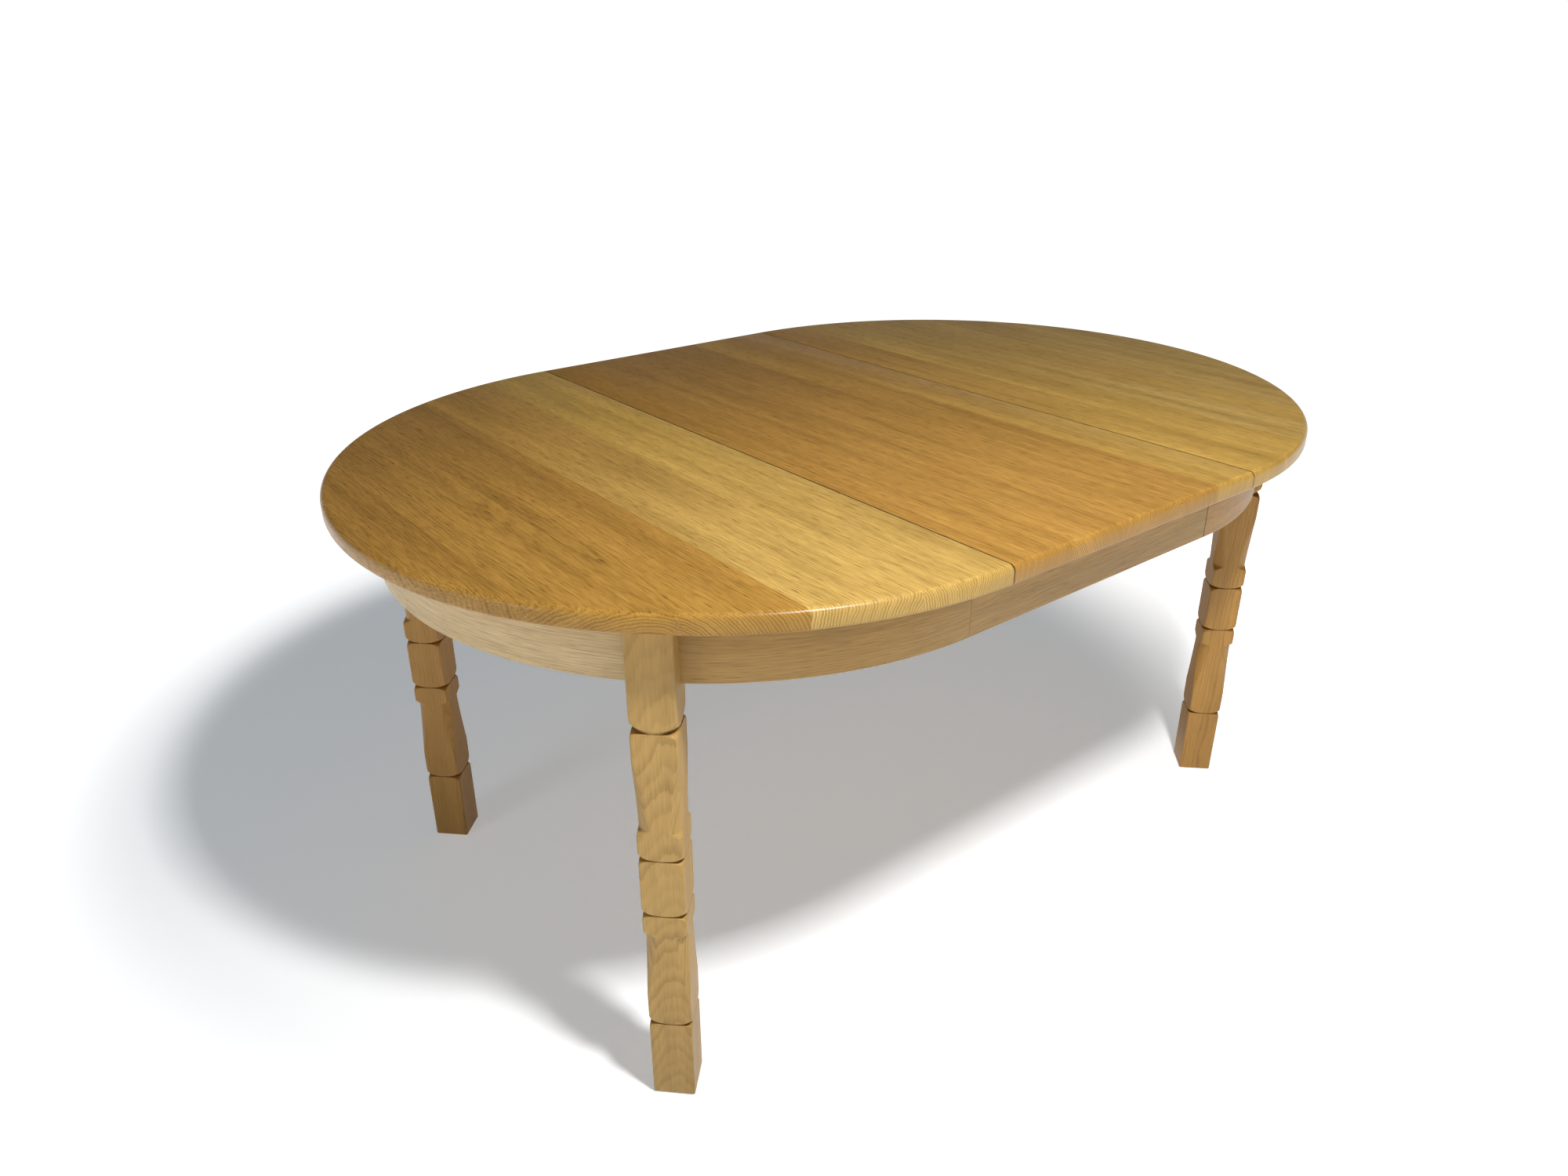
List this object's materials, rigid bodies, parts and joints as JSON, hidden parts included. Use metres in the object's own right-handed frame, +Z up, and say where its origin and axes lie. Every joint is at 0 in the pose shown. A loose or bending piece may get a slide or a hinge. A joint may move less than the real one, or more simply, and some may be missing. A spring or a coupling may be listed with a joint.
{
  "type": "extending dining table",
  "caption": "Round pull-apart oak dining table with a straight loose leaf in place, bent aprons, grooved square legs and tongue-and-groove wooden runners under the top.",
  "frame": {"origin": "on the floor, under the middle of the top, with the leaf in", "axes": "+X along the pull, towards the half that moves; +Y along the boards; +Z up"},
  "size_m": [1.66, 1.15, 0.75],
  "materials": {
    "top_oak": "oiled golden oak",
    "apron_oak": "oiled pale oak",
    "leg_oak": "oiled oak, carved",
    "frame_beech": "bare planed beech",
    "dowel_beech": "bare beech dowel",
    "steel": "zinc-plated steel"
  },
  "bodies": {
    "left_half": {"apron_left_back": "apron_oak", "apron_left_end": "apron_oak", "apron_left_front": "apron_oak", "corner_block_left_back": "frame_beech", "corner_block_left_front": "frame_beech", "cross_rail_left": "frame_beech", "glue_blocks_left": "frame_beech", "left_board_1": "top_oak", "left_board_2": "top_oak", "left_board_3": "top_oak", "left_board_4": "top_oak", "left_board_5": "top_oak", "left_board_6": "top_oak", "leg_bolts_left": "steel", "leg_left_back": "leg_oak", "leg_left_front": "leg_oak", "runner_left_back": "frame_beech", "runner_left_front": "frame_beech", "runner_screws_left": "steel", "runner_stop_pins": "dowel_beech", "seam_dowels_left": "dowel_beech"},
    "right_half": {"apron_right_back": "apron_oak", "apron_right_end": "apron_oak", "apron_right_front": "apron_oak", "corner_block_right_back": "frame_beech", "corner_block_right_front": "frame_beech", "cross_rail_right": "frame_beech", "glue_blocks_right": "frame_beech", "leg_bolts_right": "steel", "leg_right_back": "leg_oak", "leg_right_front": "leg_oak", "right_board_1": "top_oak", "right_board_2": "top_oak", "right_board_3": "top_oak", "right_board_4": "top_oak", "right_board_5": "top_oak", "right_board_6": "top_oak", "runner_right_back": "frame_beech", "runner_right_front": "frame_beech", "runner_screws_right": "steel", "seam_dowels_right": "dowel_beech"},
    "leaf": {"glue_blocks_leaf": "frame_beech", "leaf_board_1": "top_oak", "leaf_board_2": "top_oak", "leaf_board_3": "top_oak", "leaf_board_4": "top_oak", "leaf_board_5": "top_oak", "leaf_skirt_back": "apron_oak", "leaf_skirt_front": "apron_oak"}
  },
  "joints": [
    {"name": "pull_out", "type": "slide", "parent": "left_half", "child": "right_half", "axis": [1, 0, 0], "range_m": [0, 0.06]},
    {"name": "leaf_lift", "type": "slide", "parent": "left_half", "child": "leaf", "axis": [0, 0, 1], "range_m": [0, 0.3]}
  ]
}
